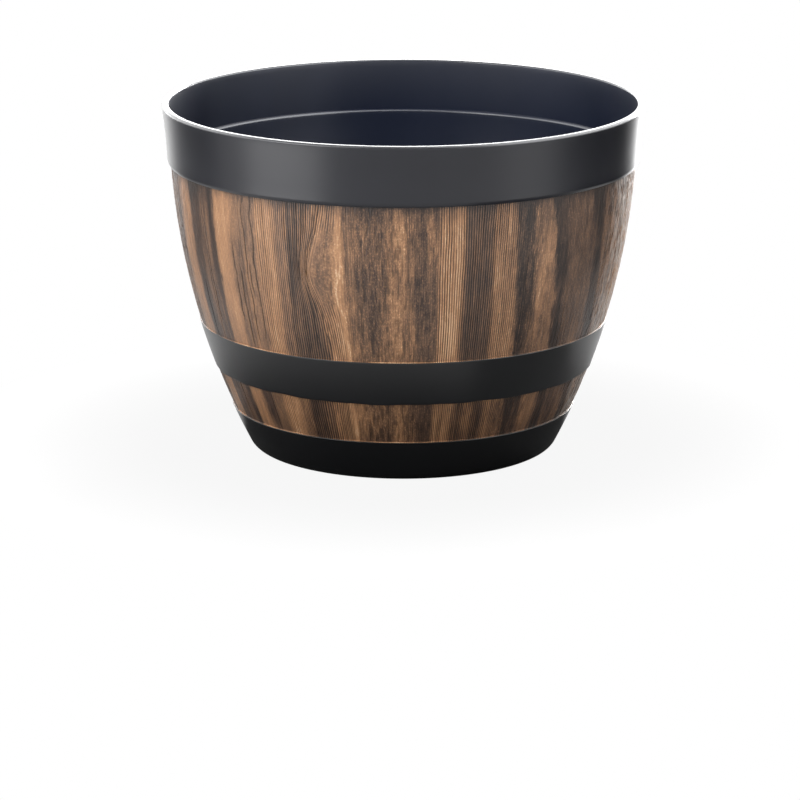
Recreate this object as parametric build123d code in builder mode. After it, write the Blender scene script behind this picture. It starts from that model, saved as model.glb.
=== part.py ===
# Half-barrel floor planter: a moulded tub with the look of coopered staves, bound by a rim hoop, a middle hoop
# and a base hoop, with rubber bungs in the drain holes of its floor.
# Sizes are millimetres, +Z is up, and the origin is the centre of the footprint on the ground.
from build123d import *

import math
import os

# Barrel side, one bulging arc from the ground to the top edge of the tub
tub_height = 187.4
head_diameter = 292.2
foot_diameter = 189.0
bulge_radius = 455.0
wall = 3.1

# Staves moulded on the side, parted by V joints
stave_count = 24
joint_width = 1.3
joint_depth = 0.45

# Angle from +X at which the staves, the ribs and the drain holes all start
start_angle = 1.5

# Floor of the tub, carried above the ground on a skirt
floor_rise = 5.0
floor_thickness = 3.2
floor_round = 6.0
shoulder_round = 1.9

# Ribs and hub that stiffen the floor from below
rib_count = 8
rib_thickness = 2.2
rib_drop = 3.6
hub_radius = 15.0
hub_wall = 2.2

# Hoop seats, recesses in the side that the middle and base hoops lie in
seat_depth = 1.2
hoop_fit = 0.15
hoop_edge_chamfer = 0.3

# Middle hoop
middle_hoop_low = 54.6
middle_hoop_height = 28.4
middle_hoop_proud = 0.65

# Base hoop, with the flange that the tub stands on
base_hoop_height = 27.6
base_hoop_proud = 0.7
foot_flange = 3.0
foot_flange_width = 15.0
foot_round = 9.0

# Rim hoop, seated on the top edge of the tub with a skirt outside it
rim_upstand = 32.6
rim_overlap = 4.9
rim_lip = 0.85
rim_bevel_height = 2.1
rim_proud = 1.95
rim_flare = 3.2
rim_flare_hollow = 0.4
rim_width = 4.6
rim_outer_round = 1.6
rim_inner_round = 1.2

# Drain holes in a ring round the floor, each with a collar below
drain_count = 4
drain_ring_radius = 52.0
drain_hole_radius = 8.0
collar_wall = 2.5
collar_drop = 3.0

# Rubber bungs, each a shank through the hole, a head that rests on the floor and a finger tab
bung_fit = 0.07
bung_head_lap = 4.5
bung_head_thickness = 2.4
bung_head_chamfer = 0.8
bung_tip = 1.0
bung_tip_chamfer = 0.8
tab_width = 11.0
tab_thickness = 3.2
tab_height = 8.0
tab_round = 1.0

# Heights and radii that follow from the sizes above
head_radius = head_diameter / 2
foot_radius = foot_diameter / 2
floor_low = foot_flange + floor_rise
floor_top = floor_low + floor_thickness
middle_hoop_top = middle_hoop_low + middle_hoop_height
rim_low = tub_height - rim_overlap
rim_top = tub_height + rim_upstand

# First rib and first drain hole, each half a step past the start angle
rib_angle = start_angle + 180 / rib_count
drain_angle = start_angle + 180 / drain_count

# Centre of the side's arc in the plane of radius and height, on the axis side of the chord
chord = math.hypot(head_radius - foot_radius, tub_height)
chord_to_centre = math.sqrt(bulge_radius**2 - (chord / 2) ** 2)
centre_radius = (foot_radius + head_radius) / 2 - chord_to_centre * tub_height / chord
centre_height = tub_height / 2 + chord_to_centre * (head_radius - foot_radius) / chord


def side_radius(height, out=0.0):
    """Radius of the barrel side at a height, on the arc moved outwards along its own normal by out."""
    return centre_radius + math.sqrt((bulge_radius + out) ** 2 - (height - centre_height) ** 2)


def side_point(height, out=0.0):
    """Point of the barrel side in the plane of radius and height."""
    return (side_radius(height, out), height)


def side_arc(low, high, out=0.0):
    """Stretch of the barrel side between two heights."""
    return ThreePointArc(side_point(low, out), side_point((low + high) / 2, out), side_point(high, out))


# V-shaped cutter that runs up the side's arc, from the base hoop's seat to past the tub's top edge
with BuildPart() as joint_cutter:
    with BuildLine(Plane.XZ) as joint_path:
        side_arc(base_hoop_height - joint_width, tub_height + joint_width)
    with BuildSketch(Plane(origin=joint_path.line @ 0, x_dir=(0, 1, 0), z_dir=joint_path.line % 0)):
        with BuildLine():
            Polyline((0, joint_depth), (-joint_width, -joint_depth), (joint_width, -joint_depth), close=True)
        make_face()
    sweep()

# Tub with its floor, skirt and hoop seats, then the stave joints, floor ribs and drain collars
with BuildPart() as barrel_shell:
    with BuildSketch(Plane.XZ) as tub_section:
        with BuildLine():
            Line((0, floor_low), side_point(floor_low, -wall))
            side_arc(foot_flange, floor_low, -wall)
            Line(side_point(foot_flange, -wall), side_point(foot_flange, -seat_depth))
            side_arc(foot_flange, base_hoop_height, -seat_depth)
            Line(side_point(base_hoop_height, -seat_depth), side_point(base_hoop_height))
            side_arc(base_hoop_height, middle_hoop_low)
            Line(side_point(middle_hoop_low), side_point(middle_hoop_low, -seat_depth))
            side_arc(middle_hoop_low, middle_hoop_top, -seat_depth)
            Line(side_point(middle_hoop_top, -seat_depth), side_point(middle_hoop_top))
            side_arc(middle_hoop_top, tub_height)
            Line(side_point(tub_height), side_point(tub_height, -wall))
            side_arc(floor_top, tub_height, -wall)
            Line(side_point(floor_top, -wall), (0, floor_top))
            Line((0, floor_top), (0, floor_low))
        make_face()
        shoulder = tub_section.vertices().group_by(Axis.Y)[-1].sort_by(Axis.X)[0]
        fillet(shoulder, radius=shoulder_round)
    revolve(axis=Axis.Z)
    inner_floor = barrel_shell.faces().filter_by(lambda f: f.geom_type == GeomType.PLANE and f.normal_at().Z > 0)
    fillet(inner_floor.sort_by(Axis.Z)[0].edges(), radius=floor_round)
    with PolarLocations(0, stave_count, start_angle=start_angle):
        add(joint_cutter.part, mode=Mode.SUBTRACT)
    with BuildSketch(Plane.XY.offset(floor_low)):
        rib_end = side_radius(floor_low - rib_drop, -(wall + seat_depth) / 2)
        rib_start = hub_radius - hub_wall
        with PolarLocations((rib_start + rib_end) / 2, rib_count, start_angle=rib_angle):
            Rectangle(rib_end - rib_start, rib_thickness)
        Circle(hub_radius)
        Circle(hub_radius - hub_wall, mode=Mode.SUBTRACT)
    extrude(amount=-rib_drop)
    with BuildSketch(Plane.XY.offset(floor_low)):
        with PolarLocations(drain_ring_radius, drain_count, start_angle=drain_angle):
            Circle(drain_hole_radius + collar_wall)
    extrude(amount=-collar_drop)
    with BuildSketch(Plane.XY.offset(floor_top)):
        with PolarLocations(drain_ring_radius, drain_count, start_angle=drain_angle):
            Circle(drain_hole_radius)
    extrude(amount=-(floor_thickness + collar_drop), mode=Mode.SUBTRACT)

# Middle hoop, a band let into its seat and a little proud of the staves
with BuildPart() as middle_hoop:
    with BuildSketch(Plane.XZ) as band_section:
        with BuildLine():
            side_arc(middle_hoop_low, middle_hoop_top, middle_hoop_proud)
            Line(side_point(middle_hoop_top, middle_hoop_proud), side_point(middle_hoop_top, hoop_fit - seat_depth))
            side_arc(middle_hoop_low, middle_hoop_top, hoop_fit - seat_depth)
            Line(side_point(middle_hoop_low, hoop_fit - seat_depth), side_point(middle_hoop_low, middle_hoop_proud))
        make_face()
        outer_corners = [level.sort_by(Axis.X)[-1] for level in band_section.vertices().group_by(Axis.Y)]
        chamfer(outer_corners, length=hoop_edge_chamfer)
    revolve(axis=Axis.Z)

# Base hoop, a band round the foot with the flange under the tub's skirt
with BuildPart() as base_hoop:
    with BuildSketch(Plane.XZ) as foot_section:
        flange_reach = side_radius(foot_flange, hoop_fit - seat_depth) - foot_flange_width
        with BuildLine():
            Line((flange_reach, 0), side_point(0, base_hoop_proud))
            side_arc(0, base_hoop_height, base_hoop_proud)
            Line(side_point(base_hoop_height, base_hoop_proud), side_point(base_hoop_height, hoop_fit - seat_depth))
            side_arc(foot_flange, base_hoop_height, hoop_fit - seat_depth)
            Line(side_point(foot_flange, hoop_fit - seat_depth), (flange_reach, foot_flange))
            Line((flange_reach, foot_flange), (flange_reach, 0))
        make_face()
        fillet(foot_section.vertices().group_by(Axis.Y)[0].sort_by(Axis.X)[-1], radius=foot_round)
        chamfer(foot_section.vertices().group_by(Axis.Y)[-1].sort_by(Axis.X)[-1], length=hoop_edge_chamfer)
    revolve(axis=Axis.Z)

# Rim hoop, an upstand that flares to the mouth over a skirt that grips the staves
with BuildPart() as rim_hoop:
    with BuildSketch(Plane.XZ) as rim_section:
        bevel_top = rim_low + rim_bevel_height
        rim_foot = side_point(bevel_top, rim_proud)
        rim_radius = rim_foot[0] + rim_flare
        seat_radius = side_radius(tub_height, -wall) + shoulder_round
        with BuildLine():
            Line((side_radius(rim_low, hoop_fit), rim_low), (side_radius(rim_low, hoop_fit + rim_lip), rim_low))
            Line((side_radius(rim_low, hoop_fit + rim_lip), rim_low), rim_foot)
            SagittaArc(rim_foot, (rim_radius, rim_top), -rim_flare_hollow)
            Line((rim_radius, rim_top), (rim_radius - rim_width, rim_top))
            Line((rim_radius - rim_width, rim_top), (seat_radius, tub_height))
            Line((seat_radius, tub_height), side_point(tub_height, hoop_fit))
            side_arc(rim_low, tub_height, hoop_fit)
        make_face()
        fillet(rim_section.vertices().group_by(Axis.Y)[-1].sort_by(Axis.X)[0], radius=rim_inner_round)
        fillet(rim_section.vertices().group_by(Axis.Y)[-1].sort_by(Axis.X)[-1], radius=rim_outer_round)
    revolve(axis=Axis.Z)


def drain_bung(seat):
    """Rubber bung in the drain hole below a seat plane, which lies on the floor with its X axis outwards."""
    shank_radius = drain_hole_radius - bung_fit
    with BuildPart() as bung:
        with BuildSketch(seat):
            Circle(drain_hole_radius + bung_head_lap)
        extrude(amount=bung_head_thickness)
        chamfer(bung.edges().group_by(Axis.Z)[-1], length=bung_head_chamfer)
        with BuildSketch(seat):
            Circle(shank_radius)
        extrude(amount=-(floor_thickness + collar_drop + bung_tip))
        chamfer(bung.edges().group_by(Axis.Z)[0], length=bung_tip_chamfer)
        with BuildSketch(seat.offset(bung_head_thickness)):
            Rectangle(tab_thickness, tab_width)
        extrude(amount=tab_height)
        fillet(bung.edges().group_by(Axis.Z)[-1], radius=tab_round)
    return bung.part


# One bung for each drain hole
bungs = []
for number in range(drain_count):
    angle = math.radians(drain_angle + number * 360 / drain_count)
    outwards = (math.cos(angle), math.sin(angle), 0)
    hole_centre = (drain_ring_radius * outwards[0], drain_ring_radius * outwards[1], floor_top)
    bung = drain_bung(Plane(origin=hole_centre, x_dir=outwards, z_dir=(0, 0, 1)))
    bung.label = f"drain_bung_{number + 1}"
    bungs.append(bung)

barrel_shell.part.label = "barrel_shell"
middle_hoop.part.label = "middle_hoop"
base_hoop.part.label = "base_hoop"
rim_hoop.part.label = "rim_hoop"

os.makedirs("parts", exist_ok=True)
for piece in [barrel_shell.part, middle_hoop.part, base_hoop.part, rim_hoop.part, *bungs]:
    export_step(piece, f"parts/{piece.label}.step")
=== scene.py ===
"""Looks of the half-barrel planter: a moulded tub with embossed wood grain, black hoops and rubber bungs."""
from functools import partial
from math import cos, hypot, pi, radians, sin, sqrt, tan

import bpy
import numpy as np
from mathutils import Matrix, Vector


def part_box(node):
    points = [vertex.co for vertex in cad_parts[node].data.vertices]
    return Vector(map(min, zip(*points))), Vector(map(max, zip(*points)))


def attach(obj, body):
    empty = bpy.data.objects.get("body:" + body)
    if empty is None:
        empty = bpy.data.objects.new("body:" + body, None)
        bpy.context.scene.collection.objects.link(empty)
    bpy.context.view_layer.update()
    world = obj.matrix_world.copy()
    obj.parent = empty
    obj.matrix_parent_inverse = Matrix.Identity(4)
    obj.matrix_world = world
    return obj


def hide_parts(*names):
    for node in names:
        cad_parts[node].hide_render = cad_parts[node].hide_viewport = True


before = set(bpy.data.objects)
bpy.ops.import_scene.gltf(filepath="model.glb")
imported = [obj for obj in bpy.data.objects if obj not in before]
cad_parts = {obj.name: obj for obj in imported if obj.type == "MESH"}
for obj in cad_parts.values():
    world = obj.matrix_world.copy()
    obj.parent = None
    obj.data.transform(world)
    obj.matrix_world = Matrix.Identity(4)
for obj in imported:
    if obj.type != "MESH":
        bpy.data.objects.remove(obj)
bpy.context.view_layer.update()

MM = 0.001

# Heights and radii read from the frame, in millimetres
middle_low, middle_top = (corner.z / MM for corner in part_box("middle_hoop"))
base_low, base_top = (corner.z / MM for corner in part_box("base_hoop"))
rim_low, rim_top = (corner.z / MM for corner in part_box("rim_hoop"))
tub_low, tub_top = (corner.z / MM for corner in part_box("barrel_shell"))
head_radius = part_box("barrel_shell")[1].x / MM

# The barrel's side, one bulging arc through the foot and the tub's top edge
FOOT_RADIUS = 94.5
BULGE_RADIUS = 455.0
chord = hypot(head_radius - FOOT_RADIUS, tub_top)
to_centre = sqrt(BULGE_RADIUS**2 - (chord / 2) ** 2)
centre_radius = (FOOT_RADIUS + head_radius) / 2 - to_centre * tub_top / chord
centre_height = tub_top / 2 + to_centre * (head_radius - FOOT_RADIUS) / chord

# Tub wall, floor and drain holes
WALL = 3.1
FLOOR_LOW = 8.0
FLOOR_TOP = 11.2
FLOOR_ROUND = 6.0
SHOULDER_ROUND = 1.9
DRAIN_RING = 52.0
DRAIN_RADIUS = 8.0
COLLAR_RADIUS = 10.5
COLLAR_LOW = 5.0
DRAIN_ANGLE = 46.5
HUB_RADIUS = 15.0
HUB_WALL = 2.2
HUB_ROUND = 0.4
RIB_COUNT = 8
RIB_THICKNESS = 2.2
RIB_LOW = 4.4
RIB_BITE = 0.2

# Where the inside wall's run starts above the floor's round and how far below the top it ends, the height that
# the floor's round leads to, and how far below the top the shoulder's round comes from
INSIDE_LOW = 24.0
INSIDE_END = 4.0
FLOOR_ROUND_AIM = 40.0
SHOULDER_AIM = 5.0

# Steps along each edge of a floor quarter, and rows from a drain hole to that edge, on the floor and under it
OUTLINE_STEPS = 40
FLOOR_ROWS = 9
UNDER_ROWS = 7

# Staves: how many, and the angle of one joint from the front towards the right
STAVES = 24
STAVE_ANGLE = 360 / STAVES
JOINT_ANGLE = 1.5
NOMINAL_RADIUS = 140.0

# Wood skin: its thickness, its gap to the tub, how deep its grain is cut, and how far it goes up under the rim
# hoop, in millimetres. CRACK_WIDTH is in degrees
SKIN = 0.9
CORE_GAP = 0.05
GROOVE_DEPTH = 0.5
LINE_PITCH = 1.45
JOINT_WIDTH = 0.42
CRACK_WIDTH = 0.15
UNDER_RIM = 5.0

# Lip at the lower edge of the wood, over a hoop, and the angle round which it is painted pale, a painted highlight
LIP_REACH = 0.55
LIP_HEIGHT = 0.4
LIP_TONE = 0.45
LIP_SHINE_ANGLE = -18

# Grid steps of the wood skin, in millimetres, and columns round a turned piece
ACROSS = 0.25
UPWARDS = 1.15
INNER_STEP = 18
COLUMNS = 384


def side_radius(height, out=0.0):
    """Radius of the side at a height: centre + sqrt((R + out)^2 - (height - centre height)^2)."""
    return centre_radius + np.sqrt((BULGE_RADIUS + out) ** 2 - (height - centre_height) ** 2)


def side_run(low, high, steps, out=0.0):
    """Rows of (radius, height) up the side's arc between two heights."""
    heights = np.linspace(low, high, steps)
    return np.stack([side_radius(heights, out), heights], axis=1)


def rounded(corners, steps=8):
    """Profile through (radius, height, round) corners. A corner with a round gets a tangent arc: it starts
    round / tan(half the angle) before the corner, and turns about a centre on the corner's bisector."""
    points = []
    for before, (x, y, size), after in zip(corners[-1:] + corners[:-1], corners, corners[1:] + corners[:1]):
        if not size:
            points.append(np.array([[x, y]]))
            continue
        here = np.array([x, y])
        back = np.array(before[:2]) - here
        ahead = np.array(after[:2]) - here
        back = back / np.linalg.norm(back)
        ahead = ahead / np.linalg.norm(ahead)
        half = np.arccos(np.clip(back @ ahead, -1, 1)) / 2
        centre = here + (back + ahead) / np.linalg.norm(back + ahead) * size / sin(half)
        start = here + back * size / tan(half) - centre
        end = here + ahead * size / tan(half) - centre
        turn = np.arctan2(start[0] * end[1] - start[1] * end[0], start @ end) * np.linspace(0, 1, steps)
        points.append(centre + np.stack([start[0] * np.cos(turn) - start[1] * np.sin(turn),
                                         start[0] * np.sin(turn) + start[1] * np.cos(turn)], axis=1))
    return np.concatenate(points)


def corner_arc(before, corner, after, size, steps):
    """Points of the arc that rounds one corner, between the points before and after it."""
    return rounded([(*before, 0), (*corner, size), (*after, 0)], steps)[1:-1]


def grid_faces(rows, columns, close_rows=False, close_columns=False):
    """Corner numbers of the quads of a grid stored row by row."""
    numbers = np.arange(rows * columns).reshape(rows, columns)
    if close_rows:
        numbers = np.concatenate([numbers, numbers[:1]])
    if close_columns:
        numbers = np.concatenate([numbers, numbers[:, :1]], axis=1)
    return np.stack([numbers[:-1, :-1], numbers[:-1, 1:], numbers[1:, 1:], numbers[1:, :-1]], axis=-1).reshape(-1, 4)


def around(radius, height, angle):
    """Points at an angle from the front (-Y) towards the right (+X), at a radius and a height, in metres."""
    radius, height, angle = np.broadcast_arrays(radius, height, angle)
    return np.stack([radius * np.sin(angle), -radius * np.cos(angle), height], axis=-1).reshape(-1, 3) * MM


def surface(name, points, faces, material, sharp=35, body="root"):
    """Mesh object from points and faces, smooth but for edges sharper than the angle given."""
    mesh = bpy.data.meshes.new(name)
    mesh.from_pydata(points, [], faces if isinstance(faces, list) else faces.tolist())
    mesh.validate()
    mesh.shade_smooth()
    mesh.set_sharp_from_angle(angle=radians(sharp))
    mesh.materials.append(material)
    piece = bpy.data.objects.new(name, mesh)
    bpy.context.scene.collection.objects.link(piece)
    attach(piece, body)
    return piece


def lathe(name, profile, material, sharp=35, sway=None):
    """Ring: a closed profile of (radius, height), clockwise as seen with +X right, turned about the axis."""
    turns = np.linspace(0, 2 * pi, COLUMNS, endpoint=False)
    radius, height = profile[:, :1], profile[:, 1:]
    if sway is not None:
        height = height + sway(profile, turns)
    points = around(radius, height, turns[None])
    return surface(name, points, grid_faces(len(profile), COLUMNS, True, True)[:, ::-1], material, sharp)


# Noise from hashed whole numbers, the same on every run
def hashed(cell_x, cell_y, seed):
    """Value from 0 to 1 for each pair of whole numbers: the fractional part of a large sine."""
    mixed = np.sin(cell_x * 127.1 + cell_y * 311.7 + seed * 74.7) * 43758.5453
    return mixed - np.floor(mixed)


def noise(x, y, seed):
    """Smooth value noise from 0 to 1: the four hashed corners of a cell, blended with 3t^2 - 2t^3."""
    cell_x, cell_y = np.floor(x), np.floor(y)
    part_x, part_y = x - cell_x, y - cell_y
    part_x = part_x * part_x * (3 - 2 * part_x)
    part_y = part_y * part_y * (3 - 2 * part_y)
    low = hashed(cell_x, cell_y, seed) * (1 - part_x) + hashed(cell_x + 1, cell_y, seed) * part_x
    high = hashed(cell_x, cell_y + 1, seed) * (1 - part_x) + hashed(cell_x + 1, cell_y + 1, seed) * part_x
    return low * (1 - part_y) + high * part_y


def smooth(value, low, high):
    """0 below low, 1 above high, and 3t^2 - 2t^3 between."""
    part = np.clip((value - low) / (high - low), 0, 1)
    return part * part * (3 - 2 * part)


# Streaks of paint and grain round the front half and again round the back, by the angle at which each one
# starts: angle, tone (0 dark to 1 pale), fine lines, flecks
STREAKS = (
    (-88.5, 0.36, 0.2, 0.8),
    (-79.0, 0.30, 0.2, 0.6),
    (-73.0, 0.60, 0.2, 0.3),
    (-65.0, 0.14, 0.2, 0.3),
    (-60.3, 0.32, 0.2, 0.3),
    (-55.6, 0.14, 0.2, 0.2),
    (-53.4, 0.67, 0.3, 0.1),
    (-47.3, 0.48, 0.2, 0.3),
    (-38.4, 0.66, 0.8, 0.1),
    (-32.6, 0.42, 0.9, 0.1),
    (-29.4, 0.18, 0.9, 0.1),
    (-25.4, 0.33, 1.0, 0.1),
    (-21.4, 0.55, 0.9, 0.3),
    (-16.4, 0.82, 0.2, 0.2),
    (-14.8, 0.52, 0.3, 0.7),
    (-11.6, 0.43, 0.2, 1.0),
    (-3.6, 0.50, 0.3, 0.9),
    (2.6, 0.34, 0.3, 0.8),
    (8.8, 0.62, 1.3, 0.1),
    (14.9, 0.20, 1.3, 0.1),
    (22.8, 0.56, 1.0, 0.3),
    (29.2, 0.22, 0.4, 0.8),
    (35.2, 0.52, 0.3, 0.6),
    (41.4, 0.10, 0.3, 0.4),
    (45.3, 0.33, 0.4, 0.4),
    (55.6, 0.12, 0.2, 0.5),
    (60.2, 0.36, 0.2, 1.0),
    (72.0, 0.46, 0.1, 1.0),
    (82.0, 0.42, 0.2, 0.9),
)
FIRST_ANGLE = STREAKS[0][0]

# Patches of paint, the last one a painted highlight: angle, height, half width in degrees, half height in
# millimetres, change of tone
PATCHES = (
    (6.9, 166, 0.8, 24, 0.26),
    (-0.9, 160, 1.7, 16, 0.22),
    (-1.6, 104, 2.4, 20, 0.14),
    (-16.8, 126, 1.4, 28, 0.10),
    (-17.2, 96, 1.1, 16, 0.16),
    (-22.5, 94, 2.4, 16, -0.16),
    (-8.0, 170, 3.0, 10, 0.12),
    (-8.5, 128, 3.2, 22, -0.10),
    (38.4, 148, 2.2, 13, 0.22),
    (36.6, 120, 2.2, 14, 0.22),
    (35.4, 97, 2.0, 14, 0.20),
    (32.5, 105, 1.8, 24, -0.14),
    (24.6, 120, 2.2, 50, 0.10),
    (11.8, 105, 2.6, 28, 0.12),
    (-50.4, 165, 2.6, 22, 0.12),
    (-69.0, 150, 2.5, 30, 0.08),
    (-64.0, 45, 5.0, 20, 0.14),
    (-45.5, 45, 3.0, 20, -0.26),
    (-10.5, 45, 2.5, 20, 0.18),
    (-1.0, 45, 1.8, 20, 0.16),
    (13.0, 45, 2.0, 20, -0.16),
    (19.5, 45, 2.0, 20, 0.30),
    (28.0, 45, 2.5, 20, -0.14),
    (62.0, 45, 6.0, 20, 0.16),
    # Painted highlight: the right edge, lit from behind on the right
    (75.0, 120, 9.0, 70, 0.30),
)

# Long cracks: angle with the eye's bend taken off, lowest and highest point in millimetres
CRACKS = (
    (-46.4, 100, 150),
    (-44.6, 84, 138),
    (-42.2, 88, 183),
    (-39.5, 90, 184),
    (-41.2, 118, 142),
    (-57.6, 96, 160),
    (-62.4, 84, 120),
    (35.0, 90, 112),
    (31.5, 84, 150),
    (-24.8, 132, 180),
    (-23.3, 92, 134),
    (-22.3, 112, 158),
    (-21.4, 128, 178),
    (-20.5, 146, 184),
    (-20.8, 86, 122),
    (-19.6, 96, 112),
)

# The eye in the grain: the angle where the grain lines stop bending on the left, that of the line at its left
# edge, and how far the bend reaches on the right
EYE_START = -28.7
EYE_ANGLE = -20.4
EYE_REACH = 9.0

# Where the inside of the eye fades: angles on the right, heights below and above. Then how far (degrees) the
# line at its left edge is off its own angle at some heights
EYE_RIGHT = (-17.5, -15.5)
EYE_BELOW = (112, 124)
EYE_ABOVE = (160, 174)
EYE_HEIGHTS = (84, 97, 110, 122, 128, 135, 141, 149, 162, 172, 183)
EYE_OFFSETS = (1.4, 0.9, 0.2, -1.3, -2.5, -3.4, -3.5, -2.9, -1.4, -0.5, 0.2)


def streak_value(angle, column, edge=0.9):
    """One column of STREAKS at each angle: a staircase whose steps are smoothed over twice the edge."""
    folded = (angle - FIRST_ANGLE) % 180 + FIRST_ANGLE
    value = np.full(np.shape(angle), STREAKS[0][column])
    for before, here in zip(STREAKS[:-1], STREAKS[1:]):
        value = value + (here[column] - before[column]) * smooth(folded, here[0] - edge, here[0] + edge)
    return value


def eye(angle, height):
    """Bend of the grain lines round the eye (degrees), and how far a point is inside it. The line at its left edge
    is bent the most. The bend grows as the power 1.6 of the way from EYE_START, and fades out on the right."""
    bend = sum(np.interp(height + shift, EYE_HEIGHTS, EYE_OFFSETS) for shift in (-3, 0, 3)) / 3
    edge = EYE_ANGLE + bend
    left = np.clip((angle - EYE_START) / (edge - EYE_START), 0, 1) ** 1.6
    right = 1 - smooth(angle, edge, edge + EYE_REACH)
    inside = smooth(angle, edge, edge + 1.4) * (1 - smooth(angle, *EYE_RIGHT))
    return bend * left * right, inside * smooth(height, *EYE_BELOW) * (1 - smooth(height, *EYE_ABOVE))


def bells(position, pitch, width):
    """Number of the grain line nearest to a position, and a bell across it, as wide as a share of the pitch."""
    number = np.floor(position / pitch)
    across = position / pitch - number - 0.5
    return number, np.exp(-(across / width) ** 2)


def grain(angle, height):
    """Look of the wood at each angle (degrees) and height (millimetres): tone, cut, share of fine lines, share of
    grit, share of the grey sheen, and the grain coordinate g = arc distance + slow wander, with the bend of the eye
    taken off. Fine lines are narrow bells at each whole multiple of the pitch in g, each with its own depth and
    breaks. Flecks are noise stretched along the grain, and grit and pits are round noise. A crack follows the eye's
    bend and a wiggle, and across it the cut is exp(-(distance / width)^4). The bark near the sides has deeper grit,
    and at the right side a grey sheen on it, which is a painted highlight."""
    half = np.floor((angle - FIRST_ANGLE) / 180)
    folded = angle - 180 * half
    bend, inside = eye(folded, height)
    front = 1 - half
    bend, inside = bend * front, inside * front
    straight = angle - bend
    wander = (noise(angle / 7, height / 48, 3 + half) - 0.5) * 1.8 + (noise(angle / 2.2, height / 15, 5) - 0.5) * 0.6
    g = np.radians(straight) * NOMINAL_RADIUS + wander

    number, bell = bells(g, LINE_PITCH, 0.2)
    line_depth = 0.35 + 0.65 * hashed(number, 7 + half, 1)
    fine = bell * line_depth * smooth(noise(number * 3.7, height / 13, 11), 0.1, 0.34)

    flecks = smooth(noise(g / 1.1, height / 4.6, 31), 0.55, 0.8)
    flecks = np.maximum(flecks, 0.8 * smooth(noise(g / 0.7 + 9, height / 2.6, 37), 0.62, 0.85))
    grit = noise(g / 0.75, height / 1.7, 39)
    pits = smooth(noise(g / 0.8 + 3, height / 1.6, 41), 0.72, 0.88)
    cracks = np.zeros(np.shape(angle))
    wiggle = (noise(angle / 2, height / 13, 21) - 0.5) * 0.8 + (noise(angle, height / 4, 23) - 0.5) * 0.3
    for place, low, high in CRACKS:
        reach = smooth(height, low - 4, low + 6) * (1 - smooth(height, high - 6, high + 4))
        cracks = np.maximum(cracks, reach * np.exp(-((folded - bend + wiggle - place) / CRACK_WIDTH) ** 4))

    lean = 3.6 * smooth(folded, 12, 40) * (1 - smooth(folded, 70, 86)) * (130 - height) / 90
    ragged = 1 - 0.8 * smooth(folded, 5, 8) * (1 - smooth(folded, 29, 33)) - 0.5 * (1 - smooth(folded, -34, -24))
    swing = (noise(angle / 4, height / 22, 43) - 0.5) * 1.5 + (noise(g / 1.1, height / 9, 45) - 0.5) * 1.6
    paint_angle = straight - lean + ragged * (swing + (noise(g / 0.6, height / 3, 47) - 0.5))
    fine_share = np.clip(streak_value(straight, 2), 0, 1) * (1 - 0.9 * inside)
    grit_share = np.clip(streak_value(straight, 3) * (1 - inside) + 0.7 * inside, 0, 1)

    place = (angle - JOINT_ANGLE) / STAVE_ANGLE
    from_joint = np.abs(place - np.round(place)) * radians(STAVE_ANGLE) * NOMINAL_RADIUS
    joint = 0.55 * np.exp(-(from_joint / JOINT_WIDTH) ** 2)
    bark = smooth(np.abs(folded), 58, 72)
    cut = np.maximum.reduce([fine * fine_share, 0.7 * flecks * grit_share * (1 - inside), cracks, joint,
                             pits * (0.12 + 0.45 * inside), (0.4 + 0.4 * bark) * grit * (0.3 + 0.7 * grit_share)])

    tone = streak_value(paint_angle, 1)
    for patch_angle, patch_height, width, reach, change in PATCHES:
        across = ((folded + (noise(g / 1.5, height / 6, 61) - 0.5) * 2 - patch_angle) / width) ** 2
        tone = tone + change * front * np.exp(-across - ((height - patch_height) / reach) ** 2)
    tone = tone + (noise(g / 2.3, height / 34, 51) - 0.5) * 0.20 + (noise(angle / 3, height / 15, 55) - 0.5) * 0.14
    tone = tone + (noise(g / 1.3, height / 5, 53) - 0.5) * 0.22 * (0.4 + 0.6 * grit_share)
    # Painted shade: a ragged band of darker tone under the rim hoop, and the wood below the middle hoop a little darker
    reach = 1.2 + 3.0 * noise(g / 1.2, height / 50, 57) + 5.0 * smooth(noise(angle / 9, half, 59), 0.45, 0.8)
    rim_shade = np.where(height < rim_low, np.exp(-(rim_low - height) / reach), 1)
    tone = tone - 0.34 * rim_shade - 0.03 * (height < middle_low + 1)
    # Painted highlight: a grey sheen in patches on the right side of the front, where the lamp from behind on the right
    # grazes the bark
    sheen_spots = smooth(noise(g / 1.1, height / 7, 73) + 0.3 * noise(g / 0.6, height / 2, 75), 0.4, 0.8)
    painted_sheen = front * smooth(folded, 59, 72) * sheen_spots
    return np.clip(tone, 0, 1), np.clip(cut, 0, 1), fine_share, grit_share, painted_sheen, g


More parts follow.
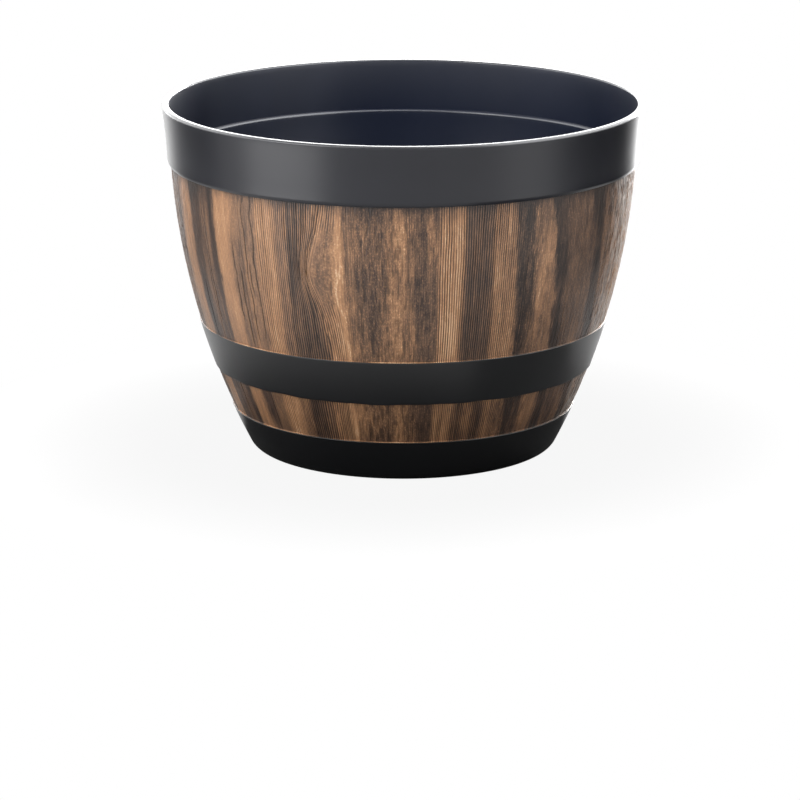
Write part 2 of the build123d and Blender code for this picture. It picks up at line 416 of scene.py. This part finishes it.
def wood_skin(name, start, end, low, high):
    """Closed sleeve of wood between two angles (degrees) and two heights (millimetres). Its outer face is the
    side's arc less the cut of the grain, with a lip at the lower edge, over the hoop, and its inner face is the
    arc one skin further in. A piece that goes all the way round has no end faces."""
    columns = int(np.ceil(radians(end - start) * side_radius(high) / ACROSS)) + 1
    lip_full, lip_end = low + LIP_HEIGHT * 0.7, low + LIP_HEIGHT * 1.4
    rows = np.concatenate([[low, lip_full, low + LIP_HEIGHT, lip_end],
                           np.arange(lip_end + UPWARDS, high, UPWARDS), [high]])
    angle, height = np.meshgrid(np.linspace(start, end, columns), rows)
    tone, cut, fine_share, grit_share, painted_sheen, along = grain(angle, height)
    lip = LIP_REACH * (1 - smooth(height, lip_full, lip_end))
    cut = cut * (1 - lip / LIP_REACH)
    # Painted highlight: the lip is painted paler in patches round one angle on the left of the front, where the key
    # light catches its edge
    lip_shine = smooth(noise(angle / 6, height * 0, 71), 0.3, 0.7) * (1 - smooth(np.abs(angle - LIP_SHINE_ANGLE), 20, 50))
    tone = np.clip(tone + LIP_TONE * lip_shine * lip / LIP_REACH, 0, 1)
    outer = side_radius(height, lip - GROOVE_DEPTH * cut)
    inner_rows = np.linspace(high, low, 3 + int((high - low) / INNER_STEP))
    inner_heights = inner_rows[:, None] + 0 * height[:1]
    radius = np.concatenate([outer, side_radius(inner_heights, -SKIN)])
    heights = np.concatenate([height, inner_heights])
    count = len(rows) + len(inner_rows)
    copied = np.where(np.arange(count) < len(rows), np.arange(count), -1)
    points = around(radius, heights, np.radians(angle[copied]))
    full = end - start > 359.9
    looks = [look[copied] for look in (tone, cut, fine_share, grit_share, painted_sheen, along)]
    faces = grid_faces(count, columns, True)
    if full:
        faces = grid_faces(count, columns - 1, True, True)
        points = points.reshape(count, columns, 3)[:, :-1].reshape(-1, 3)
        looks = [look[:, :-1] for look in looks]
        heights = heights[:, :-1]
        columns = columns - 1
    faces = faces.tolist()
    if not full:
        faces.append([row * columns for row in range(count)])
        faces.append([row * columns + columns - 1 for row in range(count)][::-1])
    piece = surface(name, points, faces, wood, sharp=70)
    for word, values in zip(("tone", "cut", "fine_share", "grit_share", "painted_sheen"), looks):
        attribute = piece.data.attributes.new(word, "FLOAT", "POINT")
        attribute.data.foreach_set("value", values.astype(np.float32).ravel())
    along = np.stack([looks[-1] * MM, heights * MM], axis=-1).reshape(-1, 2)
    layer = piece.data.uv_layers.new(name="along_grain")
    corners = np.empty(len(piece.data.loops), int)
    piece.data.loops.foreach_get("vertex_index", corners)
    layer.data.foreach_set("uv", along[corners].astype(np.float32).ravel())
    return piece


# Paint of the wood: places on the ramp with their web colours, from dark to pale, the grey of the painted
# highlight laid over it and its share, and how much the cuts darken it
PAINT_STOPS = ((0.0, "271c16"), (0.25, "4a362a"), (0.45, "70533d"), (0.65, "946c4c"), (0.85, "ad815b"), (1.0, "cdaa87"))
SHEEN_GREY = "c9beb4"
SHEEN_SHARE = 0.75
CUT_DARKNESS = 0.86


def linear(code):
    """Linear colour of a six-figure web colour."""
    part = np.array([int(code[i:i + 2], 16) / 255 for i in (0, 2, 4)])
    return tuple(np.where(part <= 0.04045, part / 12.92, ((part + 0.055) / 1.055) ** 2.4)) + (1.0,)


def new_material(name):
    """Material with its shader node, and its node tree."""
    material = bpy.data.materials.new(name)
    material.use_nodes = True
    return material, material.node_tree, material.node_tree.nodes["Principled BSDF"]


def add_node(tree, kind, inputs=(), **settings):
    """Node with its settings, and its inputs linked or set by name."""
    node = tree.nodes.new(kind)
    for word, value in settings.items():
        setattr(node, word, value)
    for word, value in dict(inputs).items():
        if isinstance(value, bpy.types.NodeSocket):
            tree.links.new(value, node.inputs[word])
        else:
            node.inputs[word].default_value = value
    return node


def math_node(tree, operation, first, second=0.0, third=0.0):
    """Output of a math node."""
    return add_node(tree, "ShaderNodeMath", {0: first, 1: second, 2: third}, operation=operation).outputs[0]


def span_node(tree, value, low, high, start=0.0, end=1.0, shape="SMOOTHSTEP"):
    """Output of a node that takes a value from low and high to start and end, and holds it there outside."""
    return add_node(tree, "ShaderNodeMapRange", {"Value": value, "From Min": low, "From Max": high, "To Min": start,
                                                 "To Max": end}, interpolation_type=shape).outputs["Result"]


def make_wood():
    """Painted wood grain: a ramp over the tone of the paint, turned grey where the mesh asks for the painted
    highlight, darkened in the cuts and in fine lines that lie at the same whole multiples of the pitch as those
    cut in the mesh, with fibres and grit along the grain, and painted highlights on the ridges and the grit."""
    material, tree, shader = new_material("painted_wood_grain")
    math, span = partial(math_node, tree), partial(span_node, tree)

    def attribute(word):
        return add_node(tree, "ShaderNodeAttribute", attribute_name=word).outputs["Fac"]

    uv = add_node(tree, "ShaderNodeUVMap", uv_map="along_grain").outputs["UV"]
    parts = add_node(tree, "ShaderNodeSeparateXYZ", {"Vector": uv})

    def grain_noise(across, along, detail):
        place = add_node(tree, "ShaderNodeMapping", {"Vector": uv, "Scale": (1 / across / MM, 1 / along / MM, 1.0)})
        return add_node(tree, "ShaderNodeTexNoise", {"Vector": place.outputs["Vector"], "Scale": 1.0, "Detail": detail,
                                                     "Roughness": 0.6}, noise_dimensions="2D").outputs["Fac"]

    lines = math("DIVIDE", parts.outputs["X"], LINE_PITCH * MM)
    number = math("FLOOR", lines)
    off = math("ABSOLUTE", math("SUBTRACT", math("SUBTRACT", lines, number), 0.5))
    own = add_node(tree, "ShaderNodeTexWhiteNoise", {"W": number}, noise_dimensions="1D").outputs["Value"]
    spot = add_node(tree, "ShaderNodeCombineXYZ", {"X": math("MULTIPLY", number, 3.7),
                                                   "Y": math("DIVIDE", parts.outputs["Y"], 13 * MM)})
    breaks = add_node(tree, "ShaderNodeTexNoise", {"Vector": spot.outputs["Vector"], "Scale": 1.0, "Detail": 2.0},
                      noise_dimensions="2D").outputs["Fac"]
    fine_share = attribute("fine_share")
    grit_share = attribute("grit_share")
    dark_line = math("MULTIPLY", span(off, 0.07, 0.24, 1.0, 0.0), span(own, 0.0, 1.0, 0.62, 1.25))
    dark_line = math("MULTIPLY", math("MULTIPLY", dark_line, span(breaks, 0.34, 0.46)), fine_share)
    # Painted highlights: the ridge beside each fine line, and the glint where the grit is low, lighten the paint
    ridge = math("MULTIPLY", span(off, 0.25, 0.45), fine_share)
    fibres = grain_noise(0.7, 7.0, 3.0)
    grit = grain_noise(0.8, 1.5, 2.0)
    speck = math("MULTIPLY", span(grit, 0.52, 0.68), math("MULTIPLY_ADD", grit_share, 0.34, 0.16))
    glint = math("MULTIPLY", span(grit, 0.46, 0.30), math("MULTIPLY_ADD", grit_share, 0.16, 0.07))
    level = math("MULTIPLY_ADD", fibres, 0.34, attribute("tone"))
    level = math("ADD", math("MULTIPLY_ADD", ridge, 0.27, glint), math("SUBTRACT", level, 0.21))
    ramp = add_node(tree, "ShaderNodeValToRGB", {"Fac": level})
    elements = ramp.color_ramp.elements
    while len(elements) < len(PAINT_STOPS):
        elements.new(0.5)
    for element, (place, code) in zip(elements, PAINT_STOPS):
        element.position = place
        element.color = linear(code)
    deep = math("MAXIMUM", math("MAXIMUM", attribute("cut"), dark_line), speck)
    depth = math("MULTIPLY_ADD", math("MINIMUM", deep, 1.0), -CUT_DARKNESS, 1.0)
    shade = add_node(tree, "ShaderNodeCombineColor", {"Red": depth, "Green": depth, "Blue": depth})
    # Painted highlight: the grey sheen on the right side, mixed over the paint
    sheen_share = math("MULTIPLY", attribute("painted_sheen"), SHEEN_SHARE)
    paint = add_node(tree, "ShaderNodeMix", {"Factor": sheen_share, 6: ramp.outputs["Color"], 7: linear(SHEEN_GREY)},
                     data_type="RGBA")
    colour = add_node(tree, "ShaderNodeMix", {"Factor": 1.0, 6: paint.outputs[2], 7: shade.outputs["Color"]},
                      data_type="RGBA", blend_type="MULTIPLY")
    bump = add_node(tree, "ShaderNodeBump", {"Height": fibres, "Strength": 0.3, "Distance": 0.0003})
    tree.links.new(colour.outputs[2], shader.inputs["Base Color"])
    tree.links.new(math("MULTIPLY_ADD", fibres, 0.22, 0.30), shader.inputs["Roughness"])
    tree.links.new(bump.outputs["Normal"], shader.inputs["Normal"])
    shader.inputs["IOR"].default_value = 1.5
    shader.inputs["Specular IOR Level"].default_value = 0.4
    return material


def make_plastic(name, dark, light, roughness):
    """Satin moulded plastic: two near shades mixed by slow noise, and a fine moulding texture in the bump."""
    material, tree, shader = new_material(name)
    place = add_node(tree, "ShaderNodeTexCoord")
    cloud = add_node(tree, "ShaderNodeTexNoise", {"Vector": place.outputs["Object"], "Scale": 22.0, "Detail": 3.0})
    speck = add_node(tree, "ShaderNodeTexNoise", {"Vector": place.outputs["Object"], "Scale": 1400.0, "Detail": 2.0})
    colour = add_node(tree, "ShaderNodeMix", {"Factor": cloud.outputs["Fac"], 6: (*dark, 1.0), 7: (*light, 1.0)},
                      data_type="RGBA")
    rough = math_node(tree, "MULTIPLY_ADD", cloud.outputs["Fac"], 0.08, roughness - 0.04)
    bump = add_node(tree, "ShaderNodeBump", {"Height": speck.outputs["Fac"], "Strength": 0.05, "Distance": 0.0002})
    tree.links.new(colour.outputs[2], shader.inputs["Base Color"])
    tree.links.new(rough, shader.inputs["Roughness"])
    tree.links.new(bump.outputs["Normal"], shader.inputs["Normal"])
    shader.inputs["IOR"].default_value = 1.5
    return material


wood = make_wood()
hoop_plastic = make_plastic("black_hoop_plastic", (0.0022, 0.0025, 0.0034), (0.0032, 0.0036, 0.0048), 0.33)
rim_plastic = make_plastic("rim_plastic", (0.0026, 0.0031, 0.0070), (0.0036, 0.0042, 0.0090), 0.33)
tub_plastic = make_plastic("dark_tub_plastic", (0.0026, 0.0053, 0.0160), (0.0042, 0.0076, 0.0210), 0.30)
bung_rubber = make_plastic("bung_rubber", (0.010, 0.010, 0.010), (0.018, 0.018, 0.019), 0.62)


def make_tub():
    """Tub: a lathed wall from the floor's edge up the inside, over the rounded shoulder and down the outside,
    and a floor in four quarters round the drain holes. A floor point lies between the hole's circle and the
    quarter's outline, in the direction of an outline point. Points that meet are welded."""
    wall_low = side_radius(FLOOR_TOP, -WALL)
    edge = wall_low - 2 * FLOOR_ROUND
    aim = tub_top - SHOULDER_AIM
    corner = corner_arc((edge, FLOOR_TOP), (wall_low, FLOOR_TOP),
                        (side_radius(FLOOR_ROUND_AIM, -WALL), FLOOR_ROUND_AIM), FLOOR_ROUND, 8)
    shoulder = corner_arc((side_radius(aim, -WALL), aim), (side_radius(tub_top, -WALL), tub_top),
                          (side_radius(tub_top), tub_top), SHOULDER_ROUND, 10)
    profile = np.concatenate([[[edge, FLOOR_TOP]], corner, side_run(INSIDE_LOW, tub_top - INSIDE_END, 60, -WALL),
                              shoulder, side_run(tub_top, tub_low, 60, -SKIN - CORE_GAP),
                              side_run(tub_low, FLOOR_LOW, 4, -WALL), [[edge, FLOOR_LOW]]])
    turns = radians(DRAIN_ANGLE - 45) + np.linspace(0, 2 * pi, COLUMNS, endpoint=False)
    points = [around(profile[:, :1], profile[:, 1:], turns[None])]
    faces = [grid_faces(len(profile), COLUMNS, False, True)[:, ::-1]]
    start = len(points[0])

    # On the floor, a place is a complex number: its angle is from the front towards the right
    for hole_angle in radians(DRAIN_ANGLE) + np.arange(4) * pi / 2:
        first = hole_angle - pi / 4
        last = first + pi / 2
        out = np.linspace(0, edge, OUTLINE_STEPS, endpoint=False)
        arc = first + np.arange(COLUMNS // 4) * 2 * pi / COLUMNS
        outline = np.concatenate([out * np.exp(1j * first), edge * np.exp(1j * arc), (edge - out) * np.exp(1j * last)])
        centre = DRAIN_RING * np.exp(1j * (first + pi / 4))
        ring = (outline - centre) / np.abs(outline - centre)
        rows = [centre + ring * DRAIN_RADIUS + share * (outline - centre - ring * DRAIN_RADIUS)
                for share in np.linspace(1, 0, FLOOR_ROWS)]
        rows += [centre + ring * DRAIN_RADIUS, centre + ring * COLLAR_RADIUS]
        rows += [centre + ring * COLLAR_RADIUS + share * (outline - centre - ring * COLLAR_RADIUS)
                 for share in np.linspace(0, 1, UNDER_ROWS)]
        rows = np.array(rows)
        levels = np.repeat([FLOOR_TOP, COLLAR_LOW, FLOOR_LOW], [FLOOR_ROWS, 2, UNDER_ROWS])[:, None]
        points.append(np.stack([rows.imag, -rows.real, levels + 0 * rows.real], axis=-1).reshape(-1, 3) * MM)
        faces.append(grid_faces(len(rows), len(outline), False, True) + start)
        start += rows.size
    points, faces = np.concatenate(points), np.concatenate(faces)
    _, first_seen, same = np.unique(np.round(points / MM, 3), axis=0, return_index=True, return_inverse=True)
    faces = same.ravel()[faces]
    body = surface("tub_body", points[first_seen], faces, tub_plastic, sharp=30)
    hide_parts("barrel_shell")


def make_ribs():
    """Under the floor, a hub ring and flat ribs from it to the skirt, as closed rings and boxes."""
    rib_top = FLOOR_LOW + RIB_BITE
    ring = rounded([(HUB_RADIUS - HUB_WALL, rib_top, 0), (HUB_RADIUS, rib_top, 0),
                    (HUB_RADIUS, RIB_LOW, HUB_ROUND), (HUB_RADIUS - HUB_WALL, RIB_LOW, HUB_ROUND)], steps=4)
    lathe("floor_hub", ring, tub_plastic)
    angles = radians(JOINT_ANGLE + 180 / RIB_COUNT) + np.arange(RIB_COUNT) * 2 * pi / RIB_COUNT
    near, far = HUB_RADIUS - HUB_WALL / 2, side_radius(RIB_LOW, -WALL) + WALL / 3
    box = np.array([[x, y, z] for z in (RIB_LOW, rib_top) for x, y in ((near, -1), (far, -1), (far, 1), (near, 1))])
    box[:, 1] *= RIB_THICKNESS / 2
    turned_x = box[None, :, 0] * np.cos(angles)[:, None] - box[None, :, 1] * np.sin(angles)[:, None]
    turned_y = box[None, :, 0] * np.sin(angles)[:, None] + box[None, :, 1] * np.cos(angles)[:, None]
    points = np.stack([turned_x, turned_y, box[None, :, 2] + 0 * turned_x], axis=-1).reshape(-1, 3) * MM
    sides = np.array([[3, 2, 1, 0], [4, 5, 6, 7], [0, 1, 5, 4], [1, 2, 6, 5], [2, 3, 7, 6], [3, 0, 4, 7]])
    faces = (np.arange(RIB_COUNT)[:, None, None] * 8 + sides[None]).reshape(-1, 4)
    surface("floor_ribs", points, faces, tub_plastic)


# Hoops: seats and outer faces measured out from the side's arc, rounds, flange, and the rim hoop
SEAT = -1.05
HOOP_PROUD = 0.65
BASE_PROUD = 0.7
EDGE_ROUND = 0.3
SMALL_ROUND = 0.5
FLANGE_TOP = 3.0
FLANGE_INSIDE = 79.9
FLANGE_AIM = 4.0
FOOT_ROUND = 8.55
FOOT_START = 6.5
RIM_SKIRT_GAP = 0.15
RIM_LIP = 0.85
RIM_BEVEL = 2.1
RIM_BEVEL_ROUND = 4.0
RIM_PROUD = 1.95
RIM_FLARE = 3.2
RIM_HOLLOW = 0.4
RIM_WIDTH = 4.6
RIM_OUTER_ROUND = 1.6
RIM_INNER_ROUND = 1.2


def band_profile(low, high, proud, steps=24):
    """Band let into the side: an outer face on the side's arc with rounded edges, and an inner face on the seat."""
    outer = side_run(high - EDGE_ROUND, low + EDGE_ROUND, steps, proud)
    inner = side_run(low, high, 3, SEAT)
    top = corner_arc(inner[-1], (side_radius(high, proud), high), outer[0], EDGE_ROUND, 5)
    bottom = corner_arc(outer[-1], (side_radius(low, proud), low), inner[0], EDGE_ROUND, 5)
    return np.concatenate([top, outer[1:-1], bottom, inner])


def wavy_foot(profile, turns):
    """Sway of the middle hoop's lower edge: three slow waves, only near the bottom of the outer face."""
    near_edge = 1 - smooth(profile[:, 1:], middle_low + 0.2, middle_low + 1.5)
    outer_face = profile[:, :1] > side_radius(middle_low)
    wave = 0.16 * np.sin(turns * 17 + 0.6) + 0.12 * np.sin(turns * 29 + 2.0) + 0.10 * np.sin(turns * 7)
    return near_edge * outer_face * (wave[None] - 0.12)


def make_hoops():
    """The three hoops, each a closed profile turned about the axis."""
    middle = lathe("middle_band", band_profile(middle_low, middle_top, HOOP_PROUD), hoop_plastic,
                   sway=wavy_foot)
    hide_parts("middle_hoop")

    outer = side_run(base_top - EDGE_ROUND, FOOT_START, 24, BASE_PROUD)
    foot = corner_arc(outer[-1], (side_radius(base_low, BASE_PROUD), base_low), (FLANGE_INSIDE, base_low),
                      FOOT_ROUND, 16)
    inner = side_run(FLANGE_TOP, base_top, 8, SEAT)
    top = corner_arc(inner[-1], (side_radius(base_top, BASE_PROUD), base_top), outer[0], EDGE_ROUND, 5)
    flange = rounded([(FLANGE_INSIDE + FLANGE_AIM, base_low, 0), (FLANGE_INSIDE, base_low, SMALL_ROUND),
                      (FLANGE_INSIDE, FLANGE_TOP, SMALL_ROUND), (FLANGE_INSIDE + FLANGE_AIM, FLANGE_TOP, 0)],
                     steps=4)[1:-1]
    base = lathe("foot_band", np.concatenate([top, outer, foot, flange, inner]), hoop_plastic)
    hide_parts("base_hoop")

    bevel_top = rim_low + RIM_BEVEL
    rim_foot = np.array([side_radius(bevel_top, RIM_PROUD), bevel_top])
    mouth = rim_foot[0] + RIM_FLARE
    share = np.linspace(0, 1, 30)[:, None]
    flare = rim_foot + share * (np.array([mouth, rim_top]) - rim_foot)
    flare[:, 0] -= RIM_HOLLOW * 4 * (share * (1 - share))[:, 0]
    flare = flare[6:-3]  # clear of the rounds at both ends
    seat = side_radius(tub_top, -WALL) + SHOULDER_ROUND
    upper = rounded([(seat, tub_top, 0), (mouth - RIM_WIDTH, rim_top, RIM_INNER_ROUND),
                     (mouth, rim_top, RIM_OUTER_ROUND), (*flare[-1], 0)], steps=10)
    bevel = rounded([(*flare[0], 0), (*rim_foot, RIM_BEVEL_ROUND),
                     (side_radius(rim_low, RIM_SKIRT_GAP + RIM_LIP), rim_low, SMALL_ROUND),
                     (side_radius(rim_low, RIM_SKIRT_GAP), rim_low, 0)], steps=5)
    skirt = side_run(rim_low, tub_top, 4, RIM_SKIRT_GAP)[1:]
    inner = np.linspace([seat, tub_top], upper[1], 12)[:-1]
    profile = np.concatenate([inner, upper[1:-1], flare[1:-1][::-1], bevel, skirt])
    rim = lathe("rim_band", profile, rim_plastic, sharp=40)
    rim.data.materials.append(tub_plastic)
    # The inside has the tub's colour, up to four rows into the round at the mouth
    inside = (np.arange(len(profile)) < len(inner) + 4).repeat(COLUMNS)
    rim.data.polygons.foreach_set("material_index", inside.astype(np.int32))
    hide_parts("rim_hoop")


def make_staves():
    """The wood, in four quarters between the rim hoop and the middle hoop, and one ring below the middle hoop. The
    quarters meet at joints between staves."""
    first_joint = JOINT_ANGLE - 6 * STAVE_ANGLE
    for quarter in range(4):
        start = first_joint + 90 * quarter
        wood_skin(f"upper_staves_{quarter + 1}", start, start + 90, middle_top, rim_low + UNDER_RIM)
    wood_skin("lower_staves", first_joint, first_joint + 360, base_top, middle_low)


make_tub()
make_ribs()
make_hoops()
make_staves()
for number in range(1, 5):
    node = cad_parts[f"drain_bung_{number}"]
    node.data.materials.clear()
    node.data.materials.append(bung_rubber)


# Floor and light. The spans are distances from the axis in metres: the pool of shade painted into the floor's colour
# round the planter with its shades from near to far, the fade to plain white, and the edge of the near white at the
# foot, with its strength
FLOOR_SIZE = 12.0
POOL_SPAN = (0.13, 0.32)
POOL_SHADES = (0.06, 0.86)
WHITE_SPAN = (0.17, 0.30)
FOOT_SPAN = (0.078, 0.088)
FOOT_WHITE = 0.92
WORLD_LIGHT = 0.42
LAMP_AIM = 0.11
CARD_COLUMNS = 13


def stage_piece(name, points, faces, material):
    """Mesh object of the stage, such as the floor or a card."""
    mesh = bpy.data.meshes.new(name)
    mesh.from_pydata(points, [], faces)
    mesh.materials.append(material)
    piece = bpy.data.objects.new(name, mesh)
    bpy.context.scene.collection.objects.link(piece)
    return piece


def shown_rays(tree):
    """Whether a ray comes from the camera, and whether it does or comes from a reflection or through clear stuff."""
    rays = add_node(tree, "ShaderNodeLightPath").outputs
    seen = math_node(tree, "MAXIMUM", rays["Is Camera Ray"], rays["Is Glossy Ray"])
    return rays["Is Camera Ray"], math_node(tree, "MAXIMUM", seen, rays["Is Transmission Ray"])


def make_floor():
    """Pale floor: lit, with a pool of shade painted into its colour near the planter, and plain white further out for
    the camera and reflections. For the camera it is almost white right up to the foot, but not under the planter,
    where the drains show it."""
    material, tree, shader = new_material("pale_floor")
    shader.inputs["Roughness"].default_value = 0.9
    shader.inputs["Specular IOR Level"].default_value = 0.0
    place = add_node(tree, "ShaderNodeTexCoord")
    length = add_node(tree, "ShaderNodeVectorMath", {0: place.outputs["Object"]}, operation="LENGTH").outputs["Value"]
    tree.links.new(span_node(tree, length, *POOL_SPAN, *POOL_SHADES), shader.inputs["Base Color"])
    from_camera, shown = shown_rays(tree)
    near = math_node(tree, "MULTIPLY", from_camera, span_node(tree, length, *FOOT_SPAN, 0.0, FOOT_WHITE, "LINEAR"))
    far = math_node(tree, "MULTIPLY", shown, span_node(tree, length, *WHITE_SPAN))
    white = add_node(tree, "ShaderNodeEmission", {"Color": (1, 1, 1, 1), "Strength": 1.0})
    mixed = add_node(tree, "ShaderNodeMixShader", {0: math_node(tree, "MAXIMUM", far, near),
                                                   1: shader.outputs["BSDF"], 2: white.outputs["Emission"]})
    tree.links.new(mixed.outputs["Shader"], tree.nodes["Material Output"].inputs["Surface"])
    edge = FLOOR_SIZE / 2
    stage_piece("floor", [(-edge, -edge, 0), (edge, -edge, 0), (edge, edge, 0), (-edge, edge, 0)], [(0, 1, 2, 3)],
                material)


def make_world():
    """White round about, for the camera and reflections, and a dimmer white as light."""
    world = bpy.data.worlds.new("studio_world")
    bpy.context.scene.world = world
    world.use_nodes = True
    tree = world.node_tree
    background = tree.nodes["Background"]
    background.inputs["Color"].default_value = (1, 1, 1, 1)
    strength = span_node(tree, shown_rays(tree)[1], 0.0, 1.0, WORLD_LIGHT, 1.0, "LINEAR")
    tree.links.new(strength, background.inputs["Strength"])


def softbox(name, bearing, rise, distance, width, depth, power):
    """Area lamp at a bearing from the front towards the right and a height angle, facing the planter."""
    lamp = bpy.data.lights.new(name, "AREA")
    lamp.shape = "RECTANGLE"
    lamp.size = width
    lamp.size_y = depth
    lamp.energy = power
    holder = bpy.data.objects.new(name, lamp)
    bearing, rise = radians(bearing), radians(rise)
    holder.location = (distance * cos(rise) * sin(bearing), -distance * cos(rise) * cos(bearing),
                       LAMP_AIM + distance * sin(rise))
    holder.rotation_euler = (pi / 2 - rise, 0, bearing)
    holder.visible_camera = False
    bpy.context.scene.collection.objects.link(holder)


def card(name, bearings, radii, heights, strength):
    """Card seen in reflections alone: a curved strip between two bearings from the front towards the right, from
    the first radius and height to the second ones. It is black at strength 0."""
    material, tree, _ = new_material(name + "_light")
    glow = add_node(tree, "ShaderNodeEmission", {"Strength": strength})
    tree.links.new(glow.outputs["Emission"], tree.nodes["Material Output"].inputs["Surface"])
    turns = np.radians(np.linspace(*bearings, CARD_COLUMNS))
    points = around(np.array(radii)[:, None] / MM, np.array(heights)[:, None] / MM, turns[None])
    strip = stage_piece(name, points, grid_faces(2, CARD_COLUMNS).tolist(), material)
    strip.visible_camera = strip.visible_diffuse = strip.visible_shadow = False


# Lamps: bearing and height angle in degrees, distance, width and depth in metres, power in watts
LAMPS = {
    "key_left": (-50, 36, 1.6, 0.7, 1.1, 21),
    "fill_right": (58, 32, 1.8, 0.6, 1.1, 5),
    "top_light": (0, 66, 1.8, 1.3, 1.0, 20),
    "edge_left": (-140, 12, 1.5, 0.4, 0.9, 8),
    "edge_right": (150, 12, 1.5, 0.4, 0.9, 42),
}

# Cards: two bearings in degrees, two radii and two heights in metres, strength
CARDS = {
    "shine_left": ((-72, -36), (0.42, 0.95), (0.002, 0.002), 4.0),
    "shine_right": ((44, 66), (0.42, 0.80), (0.002, 0.002), 1.7),
    "dark_left": ((-134, -92), (0.36, 1.6), (0.003, 0.003), 0.2),
    "dark_right": ((74, 138), (0.36, 1.6), (0.003, 0.003), 0.0),
    "low_left": ((-178, -140), (0.30, 1.6), (0.004, 0.004), 2.2),
    "low_right": ((144, 178), (0.20, 1.6), (0.004, 0.004), 7.5),
    "foot_left": ((-178, -95), (0.098, 0.16), (0.0015, 0.0015), 0.8),
    "foot_right": ((100, 178), (0.098, 0.16), (0.0015, 0.0015), 0.8),
    "back": ((152, 208), (1.7, 1.7), (0.28, 1.15), 9.0),
    "high_left": ((-168, -84), (1.45, 1.15), (0.50, 1.5), 3.5),
    "high_right": ((94, 168), (1.45, 1.15), (0.50, 1.5), 4.5),
    "streak_left": ((-125, -70), (1.2, 0.75), (0.45, 1.0), 6.0),
    "streak_right": ((40, 125), (1.2, 0.25), (0.45, 1.25), 8.0),
    "over_rim": ((-132, 132), (2.2, 2.2), (0.21, 0.48), 4.0),
    "front": ((-60, 40), (2.3, 1.0), (0.48, 1.6), 0.2),
    "dark_near": ((30, 90), (0.14, 0.33), (0.003, 0.003), 0.2),
}

make_floor()
make_world()
for name, values in LAMPS.items():
    softbox(name, *values)
for name, values in CARDS.items():
    card(name, *values)

# Camera
CAMERA_BACK = 2.44468
CAMERA_HEIGHT = 0.67362
CAMERA_PITCH = 14.834
CAMERA_YAW = 0.048
LENS = 178.46
camera_data = bpy.data.cameras.new("camera")
camera_data.lens = LENS
camera_data.sensor_width = 36.0
camera = bpy.data.objects.new("camera", camera_data)
camera.location = (0, -CAMERA_BACK, CAMERA_HEIGHT)
camera.rotation_euler = (radians(90 - CAMERA_PITCH), 0, radians(CAMERA_YAW))
bpy.context.scene.collection.objects.link(camera)
bpy.context.scene.camera = camera
bpy.context.scene.view_settings.view_transform = "Standard"
